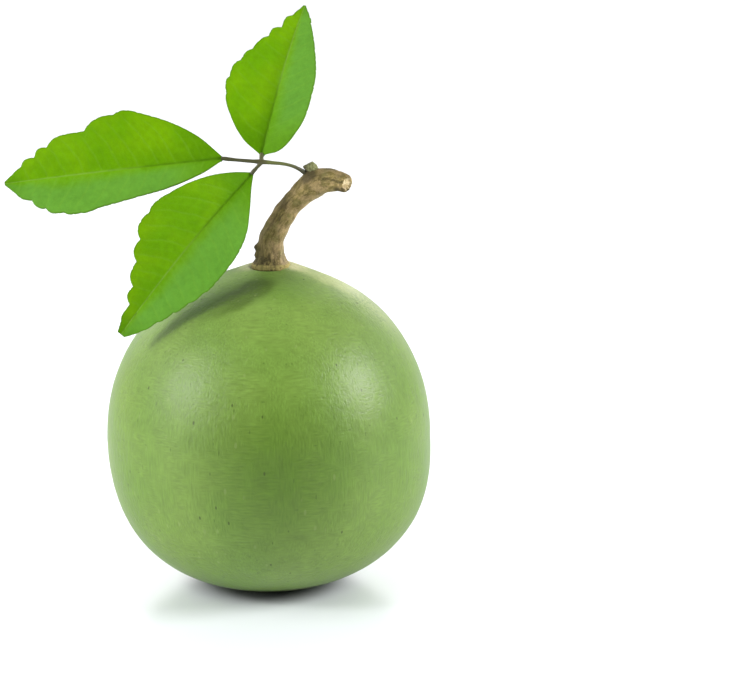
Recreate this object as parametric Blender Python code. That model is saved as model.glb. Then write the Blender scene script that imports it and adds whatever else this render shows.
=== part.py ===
# Whole bael fruit with its cut woody stalk and its leaf of three leaflets.
# Metres, +Z up. The origin is the centre of the flat spot that the fruit rests on,
# the leaf reaches out to -X, and the upper sides of its leaflets look towards -Y.

import math

import bmesh
import bpy
from mathutils import Vector

GAP = 0.0003                 # clearance between pieces that touch
CUT_GAP = 0.00036            # clearance of a piece that is cut round a curved neighbour

# The fruit is a little fuller than an ellipse in its upper and in its lower half
FRUIT_RADIUS = 0.0400
EQUATOR_HEIGHT = 0.0368
TOP_REACH = 0.0420           # equator to the top, before the seat of the stalk
BOTTOM_REACH = 0.03725       # equator to the bottom, before the flat spot
TOP_FULLNESS = 2.10          # 2 is an ellipse
BOTTOM_FULLNESS = 2.39
SEAT_RADIUS = 0.0052         # small flat round the foot of the stalk
CROWN_SHIFT = 0.0007         # the crown stands off the middle, towards +X
RIM_RISE = 0.0018            # the rind swells round the foot of the stalk, most behind it
RIM_CENTRE = (0.0007, 0.0030)
RIM_SPREAD = 0.0075
BELLY_SHIFT = 0.0005         # the lower half hangs a little to the same side
LOBES = ((2, 0.006, 0.0), (3, 0.004, 0.3))      # swellings round it: count, share and turn
FRUIT_SIDES = 56
FRUIT_RINGS = 14             # rings in each half

# Middle line of the twig from its foot to its cut end: x, y, z and radius
STALK_LINE = (
    (0.0007, 0.0000, 0.0789, 0.0044),
    (0.0007, 0.0000, 0.0803, 0.0044),
    (0.0007, 0.0000, 0.0813, 0.0038),
    (0.0008, 0.0000, 0.0827, 0.0033),
    (0.0011, 0.0000, 0.0861, 0.0030),
    (0.0038, 0.0000, 0.0916, 0.0028),
    (0.0066, 0.0000, 0.0952, 0.0027),
    (0.0094, -0.0004, 0.0980, 0.0031),
    (0.0120, -0.0012, 0.1001, 0.0035),
    (0.0149, -0.0026, 0.1009, 0.0029),
    (0.0172, -0.0044, 0.1011, 0.0026),
    (0.0192, -0.0063, 0.1008, 0.0024),
)
STALK_SIDES = 16
STALK_STEPS = 4              # rings from one point of its line to the next
KNOTS = (                    # old scars on the twig: x, y, z, height and width
    (-0.0024, -0.0008, 0.0843, 0.0009, 0.0009),
    (-0.0030, -0.0010, 0.0824, 0.0006, 0.0008),
    (0.0085, 0.0022, 0.1005, 0.0005, 0.0014),
    (0.0150, -0.0050, 0.1027, 0.0004, 0.0012),
    (0.0052, -0.0024, 0.0910, 0.0003, 0.0013),
)
BARK_RIPPLE = 0.00010        # height of the slow unevenness of the bark
BARK_WAVES = ((900, 0, 1400), (0, 2300, 800))   # its turns in radians per metre of x, y and z

# The bud is a low nub over the foot of the leaf, drawn out to a point towards -X
BUD_CENTRE = (0.0113, -0.0015, 0.1038)
BUD_HALF_SIZE = (0.0014, 0.0013, 0.0016)
BUD_POINT = (-0.92, -0.05, 0.38)
BUD_POINT_REACH = 0.0007
BUD_SIDES = 16
BUD_RINGS = 10

# Middle lines of the leaf's stalks: x, y, z and radius
PETIOLE_LINE = (
    (0.0104, -0.0012, 0.1011, 0.00075),
    (0.0096, -0.0016, 0.1023, 0.00062),
    (0.0082, -0.0022, 0.1034, 0.00046),
    (0.0063, -0.0028, 0.1044, 0.00042),
    (0.0041, -0.0034, 0.1050, 0.00042),
    (0.0017, -0.0038, 0.1053, 0.00046),
    (-0.0009, -0.0042, 0.1056, 0.00060),
    (-0.0035, -0.0044, 0.1058, 0.00046),
    (-0.0070, -0.0045, 0.1061, 0.00042),
    (-0.0100, -0.0045, 0.1064, 0.00050),
)
UPPER_SIDE_STALK = (
    (-0.0009, -0.0042, 0.1055, 0.00055),
    (-0.0010, -0.0041, 0.1062, 0.00050),
    (-0.0010, -0.0040, 0.1068, 0.00055),
)
LOWER_SIDE_STALK = (
    (-0.0008, -0.0042, 0.1057, 0.00055),
    (-0.0020, -0.0046, 0.1044, 0.00042),
    (-0.0031, -0.0050, 0.1032, 0.00050),
)
PETIOLE_SIDES = 8
PETIOLE_STEPS = 3

# A leaflet is measured along its midrib from base to tip. Each half gives its outline as
# (share of the length, half width) and its notches as (share of the length, depth).
# The blade folds up along the midrib by `fold` degrees on each side, its middle rises by
# `arch`, its midrib bends sideways by `bow`, and its edge waves.
BLADE_THICKNESS = 0.0006
RIB_THICKNESS = 0.0011       # at the base of the midrib
EDGE_CURL = 0.10             # how far the halves curve back towards their edge
TOOTH_FULLNESS = 5           # how far a rounded tooth leans towards the tip of its leaflet
TOOTH_TOP = 0.78             # highest value of the tooth's curve before it is scaled
LEAFLET_STATIONS = 34        # rows of the mesh, as many columns as listed, and rows at each notch
LEAFLET_COLUMNS = (-1.0, -0.55, 0.0, 0.55, 1.0)
NOTCH_LEAD = 0.012
CLOSEST_STATIONS = 0.007
LEAFLETS = {
    "leaflet_terminal": {
        "base": (-0.0104, -0.0045, 0.1065),
        "tip": (-0.0624, -0.0080, 0.1009),
        "faces": (0.01, -0.88, 0.47),
        "fold": 20.0, "arch": 0.0020, "bow": -0.0005, "wave": 0.0003, "waves": 2.2,
        "left": {
            "outline": ((0, 0.0005), (0.10, 0.0061), (0.25, 0.0112), (0.40, 0.0138),
                        (0.50, 0.0130), (0.61, 0.0104), (0.79, 0.0075), (0.85, 0.0055),
                        (0.93, 0.0032), (1, 0.0004)),
            "notches": ((0.47, 0.0005), (0.61, 0.0012), (0.79, 0.0015), (0.85, 0.0012),
                        (0.915, 0.0009)),
        },
        "right": {
            "outline": ((0, 0.0005), (0.10, 0.0038), (0.25, 0.0069), (0.40, 0.0085),
                        (0.55, 0.0102), (0.68, 0.0113), (0.82, 0.0087), (0.88, 0.0060),
                        (0.94, 0.0040), (1, 0.0004)),
            "notches": ((0.66, 0.0003), (0.74, 0.0004), (0.82, 0.0009), (0.88, 0.0010),
                        (0.95, 0.0005)),
        },
    },
    "leaflet_upper": {
        "base": (-0.0010, -0.0040, 0.1073),
        "tip": (0.0089, 0.0220, 0.1409),
        "faces": (-0.10, -0.77, 0.62),
        "fold": 22.0, "arch": 0.0025, "bow": 0.0, "wave": 0.0003, "waves": 1.8,
        "left": {
            "outline": ((0, 0.0007), (0.015, 0.0037), (0.05, 0.0059), (0.11, 0.0077),
                        (0.20, 0.0094), (0.32, 0.0099), (0.48, 0.0096), (0.62, 0.0079),
                        (0.78, 0.0052), (0.90, 0.0027), (1, 0.0003)),
            "notches": ((0.905, 0.0003), (0.95, 0.0002)),
        },
        "right": {
            "outline": ((0, 0.0005), (0.05, 0.0050), (0.15, 0.0093), (0.27, 0.0119),
                        (0.38, 0.0125), (0.50, 0.0112), (0.65, 0.0077), (0.79, 0.0037),
                        (0.90, 0.0022), (1, 0.0003)),
            "notches": ((0.28, 0.0003), (0.39, 0.0005), (0.51, 0.0007), (0.60, 0.0006),
                        (0.71, 0.0007), (0.795, 0.0014), (0.90, 0.0009)),
        },
    },
    "leaflet_lower": {
        "base": (-0.0033, -0.0050, 0.1029),
        "tip": (-0.0343, -0.0175, 0.0660),
        "faces": (0.12, -0.97, 0.23),
        "fold": 22.0, "arch": 0.0015, "bow": 0.0008, "wave": 0.0003, "waves": 2.0,
        "left": {
            "outline": ((0, 0.0005), (0.06, 0.0039), (0.15, 0.0077), (0.28, 0.0113),
                        (0.42, 0.0132), (0.54, 0.0121), (0.69, 0.0078), (0.79, 0.0047),
                        (0.87, 0.0026), (0.95, 0.0017), (1, 0.0005)),
            "notches": ((0.47, 0.0004), (0.60, 0.0013), (0.69, 0.0014), (0.79, 0.0014),
                        (0.865, 0.0013), (0.95, 0.0005)),
        },
        "right": {
            "outline": ((0, 0.0005), (0.06, 0.0025), (0.15, 0.0059), (0.25, 0.0092),
                        (0.36, 0.0110), (0.50, 0.0114), (0.60, 0.0106), (0.75, 0.0079),
                        (0.87, 0.0052), (0.95, 0.0032), (1, 0.0006)),
            "notches": ((0.61, 0.0006), (0.69, 0.0006), (0.77, 0.0006), (0.85, 0.0005),
                        (0.93, 0.0004)),
        },
    },
}

# Colour, roughness and metallic value of each finish
FINISHES = {
    "green_rind": ((0.23, 0.36, 0.12), 0.42, 0.0),
    "bark": ((0.27, 0.20, 0.11), 0.85, 0.0),
    "bud_scale": ((0.36, 0.34, 0.20), 0.75, 0.0),
    "leaf_stalk": ((0.17, 0.18, 0.05), 0.55, 0.0),
    "leaf_blade": ((0.13, 0.38, 0.03), 0.40, 0.0),
}


def finish(name):
    """The Principled material of one finish, made once."""
    if name in bpy.data.materials:
        return bpy.data.materials[name]
    colour, roughness, metallic = FINISHES[name]
    material = bpy.data.materials.new(name)
    material.use_nodes = True
    shader = material.node_tree.nodes["Principled BSDF"]
    shader.inputs["Base Color"].default_value = (*colour, 1.0)
    shader.inputs["Roughness"].default_value = roughness
    shader.inputs["Metallic"].default_value = metallic
    return material


def new_object(name, mesh, finish_name):
    """Link a mesh as a named object that wears one finish."""
    piece = bpy.data.objects.new(name, mesh)
    bpy.context.collection.objects.link(piece)
    mesh.materials.clear()
    mesh.materials.append(finish(finish_name))
    return piece


def read_curve(points, place):
    """Smooth curve through (place, value) points, read at one place."""
    last = len(points) - 1
    i = max(k for k in range(last) if points[k][0] <= place or k == 0)
    (x0, y0), (x1, y1) = points[i], points[i + 1]
    before, after = points[max(i - 1, 0)], points[min(i + 2, last)]
    slope0 = (y1 - before[1]) / (x1 - before[0])
    slope1 = (after[1] - y0) / (after[0] - x0)
    span = x1 - x0
    t = (place - x0) / span
    return ((1 + 2 * t) * (1 - t) ** 2 * y0 + t * (1 - t) ** 2 * span * slope0
            + t * t * (3 - 2 * t) * y1 - t * t * (1 - t) * span * slope1)


def half_profile(reach, fullness, start, end, rings):
    """Points (radius, height from the equator) of one half of the fruit, between two angles."""
    points = []
    for i in range(rings + 1):
        angle = start + (end - start) * i / rings
        points.append((FRUIT_RADIUS * math.cos(angle) ** (2 / fullness),
                       reach * math.sin(angle) ** (2 / fullness)))
    return points


def fruit_profile():
    """Outline of the turned fruit, from the middle of its flat spot to the middle of its seat."""
    flat_edge = math.asin((EQUATOR_HEIGHT / BOTTOM_REACH) ** (BOTTOM_FULLNESS / 2))
    seat_edge = math.acos((SEAT_RADIUS / FRUIT_RADIUS) ** (TOP_FULLNESS / 2))
    lower = half_profile(BOTTOM_REACH, BOTTOM_FULLNESS, flat_edge, 0.0, FRUIT_RINGS)
    upper = half_profile(TOP_REACH, TOP_FULLNESS, 0.0, seat_edge, FRUIT_RINGS)
    outline = [(r, EQUATOR_HEIGHT - h) for r, h in lower]
    outline += [(r, EQUATOR_HEIGHT + h) for r, h in upper[1:]]
    seat = outline[-1][1]
    return [(0.0, outline[0][1])] + outline + [(SEAT_RADIUS - GAP / 2, seat), (0.0, seat)]


def grow_uneven(point):
    """Shift and swell a point of the turned fruit the way the grown one is uneven."""
    around = math.atan2(point.y, point.x)
    outward = math.hypot(point.x, point.y) / FRUIT_RADIUS
    swell = 1 + outward ** 2 * sum(share * math.sin(n * around + turn) for n, share, turn in LOBES)
    height = point.z - EQUATOR_HEIGHT
    on_rind = outward * FRUIT_RADIUS > SEAT_RADIUS - GAP / 4
    from_rim = math.hypot(point.x - RIM_CENTRE[0], point.y - RIM_CENTRE[1]) / RIM_SPREAD
    rise = RIM_RISE * math.exp(-from_rim ** 2) if on_rind and height > 0 else 0.0
    if height > 0:
        shift = CROWN_SHIFT * (height / TOP_REACH) ** 4
    else:
        shift = BELLY_SHIFT * math.sin(math.pi * -height / BOTTOM_REACH)
    return Vector((point.x * swell + shift, point.y * swell, point.z + rise))


def make_fruit():
    """Whole fruit: a turned outline, then its grown unevenness."""
    form = bmesh.new()
    points = [form.verts.new((radius, 0.0, height)) for radius, height in fruit_profile()]
    lines = [form.edges.new(pair) for pair in zip(points, points[1:])]
    bmesh.ops.spin(form, geom=points + lines, cent=(0, 0, 0), axis=(0, 0, 1),
                   angle=2 * math.pi, steps=FRUIT_SIDES, use_duplicate=False)
    bmesh.ops.remove_doubles(form, verts=form.verts, dist=1e-6)
    bmesh.ops.recalc_face_normals(form, faces=form.faces)
    for vertex in form.verts:
        vertex.co = grow_uneven(vertex.co)
    mesh = bpy.data.meshes.new("fruit")
    form.to_mesh(mesh)
    form.free()
    mesh.shade_smooth()
    mesh.set_sharp_from_angle(angle=math.radians(40))
    return new_object("fruit", mesh, "green_rind")


def evaluated_mesh(piece):
    """New mesh of an object as its modifiers or its curve make it."""
    bpy.context.view_layer.update()
    return bpy.data.meshes.new_from_object(piece.evaluated_get(bpy.context.evaluated_depsgraph_get()))


def tube_mesh(name, line, sides, steps):
    """Mesh of a round tube along a smooth curve through a line's points, its ends capped."""
    curve = bpy.data.curves.new(name, "CURVE")
    curve.dimensions = "3D"
    curve.bevel_depth = 1.0
    curve.bevel_resolution = sides // 2 - 2
    curve.use_fill_caps = True
    curve.resolution_u = steps
    spline = curve.splines.new("BEZIER")
    spline.bezier_points.add(len(line) - 1)
    for point, (x, y, z, radius) in zip(spline.bezier_points, line):
        point.co = (x, y, z)
        point.radius = radius
        point.handle_left_type = point.handle_right_type = "AUTO"
    guide = bpy.data.objects.new(name, curve)
    bpy.context.collection.objects.link(guide)
    mesh = evaluated_mesh(guide)
    bpy.data.objects.remove(guide)
    bpy.data.curves.remove(curve)
    return close_mesh(mesh)


def close_mesh(mesh):
    """Merge a tube's doubled ends and turn its faces outwards."""
    form = bmesh.new()
    form.from_mesh(mesh)
    bmesh.ops.remove_doubles(form, verts=form.verts, dist=1e-6)
    bmesh.ops.recalc_face_normals(form, faces=form.faces)
    form.to_mesh(mesh)
    form.free()
    mesh.shade_smooth()
    mesh.set_sharp_from_angle(angle=math.radians(50))
    return mesh


def bark_relief(point):
    """Height of the bark's slow ripple and of its knots at a point."""
    ripple = BARK_RIPPLE * sum(math.sin(point.dot(Vector(wave))) for wave in BARK_WAVES)
    knots = sum(height * math.exp(-((point - Vector((x, y, z))).length / width) ** 2)
                for x, y, z, height, width in KNOTS)
    return ripple + knots


def make_stalk():
    """Woody twig with its flared foot, its elbow and its cut end."""
    mesh = tube_mesh("stalk", STALK_LINE, STALK_SIDES, STALK_STEPS)
    foot, cut_end = Vector(STALK_LINE[0][:3]), Vector(STALK_LINE[-1][:3])
    inwards = (Vector(STALK_LINE[-2][:3]) - cut_end).normalized()
    moves = []
    for vertex in mesh.vertices:
        over_foot = vertex.co.z - foot.z
        from_cut = (vertex.co - cut_end).dot(inwards)
        ends = min(1.0, over_foot / GAP, from_cut / GAP)
        moves.append(vertex.normal * bark_relief(vertex.co) * max(ends, 0.0))
    for vertex, move in zip(mesh.vertices, moves):
        vertex.co += move
    return new_object("stalk", mesh, "bark")


def cut_clear(piece, neighbour):
    """Cut a piece back so that it keeps the gap to a neighbour it grows from."""
    grown = neighbour.data.copy()
    moves = [vertex.normal * CUT_GAP for vertex in grown.vertices]
    for vertex, move in zip(grown.vertices, moves):
        vertex.co += move
    cutter = bpy.data.objects.new("cutter", grown)
    bpy.context.collection.objects.link(cutter)
    join_or_cut(piece, cutter, "DIFFERENCE")


def join_or_cut(piece, other, operation):
    """Apply one exact Boolean of another object to a piece, and remove the other object."""
    step = piece.modifiers.new(operation, "BOOLEAN")
    step.operation = operation
    step.object = other
    step.solver = "EXACT"
    result = evaluated_mesh(piece)
    piece.modifiers.clear()
    piece.data = result
    bpy.data.objects.remove(other)


def make_bud(stalk):
    """Low nub over the foot of the leaf, cut to sit on the twig."""
    form = bmesh.new()
    bmesh.ops.create_uvsphere(form, u_segments=BUD_SIDES, v_segments=BUD_RINGS, radius=1.0)
    point_way = Vector(BUD_POINT).normalized()
    for vertex in form.verts:
        way = vertex.co.normalized()
        reach = BUD_POINT_REACH * max(way.dot(point_way), 0.0) ** 4
        body = Vector((way[i] * BUD_HALF_SIZE[i] for i in range(3)))
        vertex.co = Vector(BUD_CENTRE) + body + point_way * reach
    mesh = bpy.data.meshes.new("bud")
    form.to_mesh(mesh)
    form.free()
    mesh.shade_smooth()
    bud = new_object("bud", mesh, "bud_scale")
    cut_clear(bud, stalk)
    return bud


def make_petiole(stalk):
    """The leaf's stalk with its three side stalks, joined in one solid."""
    tubes = [tube_mesh("petiole", line, PETIOLE_SIDES, PETIOLE_STEPS)
             for line in (PETIOLE_LINE, UPPER_SIDE_STALK, LOWER_SIDE_STALK)]
    petiole = new_object("petiole", tubes[0], "leaf_stalk")
    for tube in tubes[1:]:
        join_or_cut(petiole, new_object("side_stalk", tube, "leaf_stalk"), "UNION")
    cut_clear(petiole, stalk)
    return petiole


def notch_bulge(notches, place):
    """How far the rounded teeth before the notches stand out of a leaflet's outline."""
    start = 2 * notches[0][0] - notches[1][0]
    for end, depth in notches:
        if start < place <= end:
            t = (place - start) / (end - start)
            return depth * t * (2 - t) * (1 - t ** TOOTH_FULLNESS) / TOOTH_TOP
        start = end
    return 0.0


def half_width(half, place):
    """Half width of a leaflet at a place along it, with its teeth."""
    return read_curve(half["outline"], place) + notch_bulge(half["notches"], place)


def blade_frame(spec):
    """Length and the along, across and upward directions of a leaflet."""
    along = Vector(spec["tip"]) - Vector(spec["base"])
    length = along.length
    along.normalize()
    upward = Vector(spec["faces"])
    upward = (upward - along * upward.dot(along)).normalized()
    return length, along, along.cross(upward), upward


def blade_point(spec, place, column):
    """Point on a leaflet's upper side. Columns run from -1, the right edge, to 1, the left."""
    length, along, across, upward = blade_frame(spec)
    half = spec["left"] if column > 0 else spec["right"]
    width = half_width(half, place)
    outward = abs(column)
    fold = math.radians(spec["fold"])
    swell = 4 * place * (1 - place)
    wave = spec["wave"] * outward ** 2 * math.sin(2 * math.pi * spec["waves"] * place + column)
    rise = (spec["arch"] + wave) * swell + width * (outward * math.sin(fold) - EDGE_CURL * outward ** 2)
    side = width * column * math.cos(fold) + spec["bow"] * swell
    return Vector(spec["base"]) + along * length * place + across * side + upward * rise


def stations(spec):
    """Places along a leaflet where its mesh has a row: even steps, with rows at each notch."""
    places = [i / LEAFLET_STATIONS for i in range(LEAFLET_STATIONS + 1)]
    notches = [end for half in (spec["left"], spec["right"]) for end, depth in half["notches"]]
    kept = []
    for end in notches:
        kept += [end - NOTCH_LEAD, end]
    kept = [p for i, p in enumerate(kept) if all(abs(p - q) > CLOSEST_STATIONS for q in kept[:i])]
    places = [p for p in places if all(abs(p - q) > CLOSEST_STATIONS for q in kept)]
    return sorted(places + kept)


def make_leaflet(name):
    """One folded, arched blade with its toothed edge, thicker along its midrib."""
    spec = LEAFLETS[name]
    form = bmesh.new()
    places = stations(spec)
    rows = [[form.verts.new(blade_point(spec, place, column)) for column in LEAFLET_COLUMNS]
            for place in places]
    middle = len(LEAFLET_COLUMNS) // 2
    for row, next_row in zip(rows, rows[1:]):
        for i in range(len(LEAFLET_COLUMNS) - 1):
            a, b, c, d = row[i], row[i + 1], next_row[i + 1], next_row[i]
            corners = ((a, b, c), (a, c, d)) if i < middle else ((a, b, d), (b, c, d))
            for corner in corners:
                form.faces.new(corner)
    mesh = bpy.data.meshes.new(name)
    form.to_mesh(mesh)
    form.free()
    upward = blade_frame(spec)[3]
    if mesh.polygons[0].normal.dot(upward) < 0:
        mesh.flip_normals()
    mesh.shade_smooth()
    blade = new_object(name, mesh, "leaf_blade")
    thicken(blade, places)
    return blade


def thicken(blade, places):
    """Give the blade its thickness, most at the base of the midrib."""
    weights = blade.vertex_groups.new(name="thickness")
    columns = len(LEAFLET_COLUMNS)
    thinnest = BLADE_THICKNESS / RIB_THICKNESS
    for i, place in enumerate(places):
        for j, column in enumerate(LEAFLET_COLUMNS):
            rib = (1 - thinnest) * (1 - place) if column == 0 else 0.0
            weights.add([i * columns + j], thinnest + rib, "REPLACE")
    solid = blade.modifiers.new("Thickness", "SOLIDIFY")
    solid.thickness = RIB_THICKNESS
    solid.offset = -1.0
    solid.vertex_group = "thickness"


def build():
    """Make every piece of the fruit."""
    for old in list(bpy.data.objects):
        bpy.data.objects.remove(old)
    make_fruit()
    stalk = make_stalk()
    make_bud(stalk)
    make_petiole(stalk)
    for name in LEAFLETS:
        make_leaflet(name)


build()
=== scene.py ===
# Bael fruit with its cut twig and its leaf of three leaflets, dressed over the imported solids.
# Metres, +Z up. The fruit rests at the origin, and its leaf reaches out to -X.

import math
import bpy
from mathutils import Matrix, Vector, noise


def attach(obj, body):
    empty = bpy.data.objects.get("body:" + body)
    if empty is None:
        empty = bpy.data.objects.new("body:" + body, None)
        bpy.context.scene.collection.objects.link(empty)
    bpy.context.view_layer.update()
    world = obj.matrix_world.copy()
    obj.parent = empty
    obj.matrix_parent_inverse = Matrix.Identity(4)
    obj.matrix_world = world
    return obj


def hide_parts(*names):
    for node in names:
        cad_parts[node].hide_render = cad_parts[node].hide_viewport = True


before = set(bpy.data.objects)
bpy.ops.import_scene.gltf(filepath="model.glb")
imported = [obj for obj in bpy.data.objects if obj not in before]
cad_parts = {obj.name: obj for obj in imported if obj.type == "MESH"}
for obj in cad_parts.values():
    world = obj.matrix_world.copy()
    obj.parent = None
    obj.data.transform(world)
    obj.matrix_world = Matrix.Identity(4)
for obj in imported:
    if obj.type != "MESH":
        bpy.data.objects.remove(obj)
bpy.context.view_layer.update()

mm = 0.001


# Everyday steps

def deselectAll():
    if bpy.context.object and bpy.context.object.mode != "OBJECT":
        bpy.ops.object.mode_set(mode="OBJECT")
    bpy.ops.object.select_all(action="DESELECT")


def pick(*pieces):
    deselectAll()
    for piece in pieces:
        piece.select_set(True)
    bpy.context.view_layer.objects.active = pieces[0]


def nameNew(name):
    piece = bpy.context.object
    piece.name = piece.data.name = name
    return piece


def applyModifier(piece, kind, **settings):
    pick(piece)
    bpy.ops.object.modifier_add(type=kind)
    step = piece.modifiers[-1]
    for key, value in settings.items():
        setattr(step, key, value)
    bpy.ops.object.modifier_apply(modifier=step.name)


def editMesh(piece, *steps):  # runs edit-mode steps on the whole mesh
    pick(piece)
    bpy.ops.object.mode_set(mode="EDIT")
    bpy.ops.mesh.select_mode(type="VERT")
    for step, settings in steps:
        bpy.ops.mesh.select_all(action="SELECT")
        step(**settings)
    bpy.ops.object.mode_set(mode="OBJECT")


def weld(piece, reach=1e-7):  # closes seams and poles, faces outwards
    editMesh(piece, (bpy.ops.mesh.remove_doubles, {"threshold": reach}),
             (bpy.ops.mesh.normals_make_consistent, {"inside": False}))


def smoothShade(piece, degrees=50):
    pick(piece)
    bpy.ops.object.shade_smooth_by_angle(angle=math.radians(degrees))


def moveVerts(piece, places):
    piece.data.vertices.foreach_set("co", [number for place in places for number in place])
    piece.data.update()


def addNumbers(piece, name, values):  # one number at each vertex, read by a material
    layer = piece.data.attributes.new(name, "FLOAT", "POINT")
    layer.data.foreach_set("value", values)


def addVectors(piece, name, values):
    layer = piece.data.attributes.new(name, "FLOAT_VECTOR", "POINT")
    layer.data.foreach_set("vector", [number for value in values for number in value])


def finishPiece(piece, materials, slot, *nodes):
    piece.data.materials.clear()
    for material in materials:
        piece.data.materials.append(material)
    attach(piece, "root")
    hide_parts(*nodes)
    print("made", piece.name, len(piece.data.polygons), "faces")


def ease(value, start, end):  # 0 at start, 1 at end, smooth between
    t = min(max((value - start) / (end - start), 0.0), 1.0)
    return t * t * (3 - 2 * t)


def bump(distance, width):  # 1 in the middle, falling off round it
    return math.exp(-(distance / width) ** 2)


def readCurve(points, place):  # smooth curve through (place, value) points
    last = len(points) - 1
    i = max(k for k in range(last) if points[k][0] <= place or k == 0)
    (x0, y0), (x1, y1) = points[i], points[i + 1]
    before, after = points[max(i - 1, 0)], points[min(i + 2, last)]
    slope0 = (y1 - before[1]) / (x1 - before[0])
    slope1 = (after[1] - y0) / (after[0] - x0)
    span = x1 - x0
    t = (place - x0) / span
    return ((1 + 2 * t) * (1 - t) ** 2 * y0 + t * (1 - t) ** 2 * span * slope0
            + t * t * (3 - 2 * t) * y1 - t * t * (1 - t) * span * slope1)


# Materials: a Wire is a socket that can be added, scaled and so on

class Wire:
    def __init__(self, paint, socket):
        self.paint, self.socket = paint, socket

    def maths(self, operation, *others):  # a Math node with this wire first
        return self.paint.maths(operation, self, *others)

    def out(self, name):  # another output of the same node
        return Wire(self.paint, self.socket.node.outputs[name])

    def __add__(self, other):
        return self.maths("ADD", other)

    def __sub__(self, other):
        return self.maths("SUBTRACT", other)

    def __rsub__(self, other):
        return self.paint.maths("SUBTRACT", other, self)

    def __mul__(self, other):
        return self.maths("MULTIPLY", other)

    __radd__ = __add__
    __rmul__ = __mul__


class Graph:
    def __init__(self, tree):
        self.tree = tree

    def node(self, kind, settings=None, sockets=None, output=0):
        node = self.tree.nodes.new(kind)
        for key, value in (settings or {}).items():
            setattr(node, key, value)
        for key, value in (sockets or {}).items():
            self.feed(node.inputs[key], value)
        return Wire(self, node.outputs[output])

    def feed(self, socket, value):
        if isinstance(value, Wire):
            self.tree.links.new(value.socket, socket)
        elif socket.type == "RGBA":
            socket.default_value = (*value, 1)
        else:
            socket.default_value = value

    def maths(self, operation, *values):
        return self.node("ShaderNodeMath", {"operation": operation}, dict(enumerate(values)))

    def axis(self, place, letter):
        return self.node("ShaderNodeSeparateXYZ", {}, {0: place}).out(letter)

    def fade(self, value, start, end, low=0.0, high=1.0):
        return self.node("ShaderNodeMapRange", {"interpolation_type": "SMOOTHSTEP"}, {
            "Value": value, "From Min": start, "From Max": end, "To Min": low, "To Max": high})


class Paint(Graph):
    def __init__(self, name, roughness=0.5, **constants):
        self.material = bpy.data.materials.new(name)
        self.material.use_nodes = True
        super().__init__(self.material.node_tree)
        self.shader = self.tree.nodes["Principled BSDF"]
        self.shader.inputs["Roughness"].default_value = roughness
        for socket, value in constants.items():
            self.shader.inputs[socket].default_value = value
        self.place = self.node("ShaderNodeTexCoord").out("Object")

    def stretch(self, place, factors):  # a pattern grows along an axis with factor < 1
        return self.node("ShaderNodeVectorMath", {"operation": "MULTIPLY"}, {0: place, 1: factors})

    def spot(self, middle, reach, core=0.4):  # 1 in a round spot, given in millimetres
        sockets = {0: self.place, 1: [number * mm for number in middle]}
        away = self.node("ShaderNodeVectorMath", {"operation": "DISTANCE"}, sockets, output=1)
        return self.fade(away, reach * mm, reach * core * mm)

    def cloud(self, place, size, detail=2.0, rough=0.5):
        return self.node("ShaderNodeTexNoise", {}, {
            "Vector": place, "Scale": 1 / size, "Detail": detail, "Roughness": rough})

    def cells(self, place, size, kind="F1"):
        return self.node("ShaderNodeTexVoronoi", {"feature": kind}, {"Vector": place, "Scale": 1 / size})

    def dots(self, place, size, reach, share=1.0):  # round dots in a share of the cells
        cells = self.cells(place, size)
        dots = self.fade(cells, reach, reach * 0.45)
        if share < 1:
            chosen = self.node("ShaderNodeSeparateColor", {}, {0: cells.out("Color")})
            dots = dots * self.fade(chosen, share, share - 0.02)
        return dots

    def marks(self, factors, *sizes):  # dots that are drawn out along an axis
        return self.dots(self.stretch(self.place, factors), *sizes)

    def read(self, name, output="Fac"):  # an attribute of the mesh
        return self.node("ShaderNodeAttribute", {"attribute_name": name}).out(output)

    def mix(self, factor, first, second):
        return self.node("ShaderNodeMix", {"data_type": "RGBA"}, {0: factor, 6: first, 7: second}, output=2)

    def tone(self, colour, factor):  # makes a colour lighter or darker
        return self.node("ShaderNodeVectorMath", {"operation": "SCALE"}, {0: colour, "Scale": factor})

    def relief(self, height, distance):
        bumped = self.node("ShaderNodeBump", {}, {"Height": height, "Distance": distance, "Strength": 1.0})
        self.feed(self.shader.inputs["Normal"], bumped)

    def wear(self, colour, roughness=None):
        self.feed(self.shader.inputs["Base Color"], colour)
        if roughness is not None:
            self.feed(self.shader.inputs["Roughness"], roughness)
        return self.material


# Fruit: one hard, leathery rind

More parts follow.
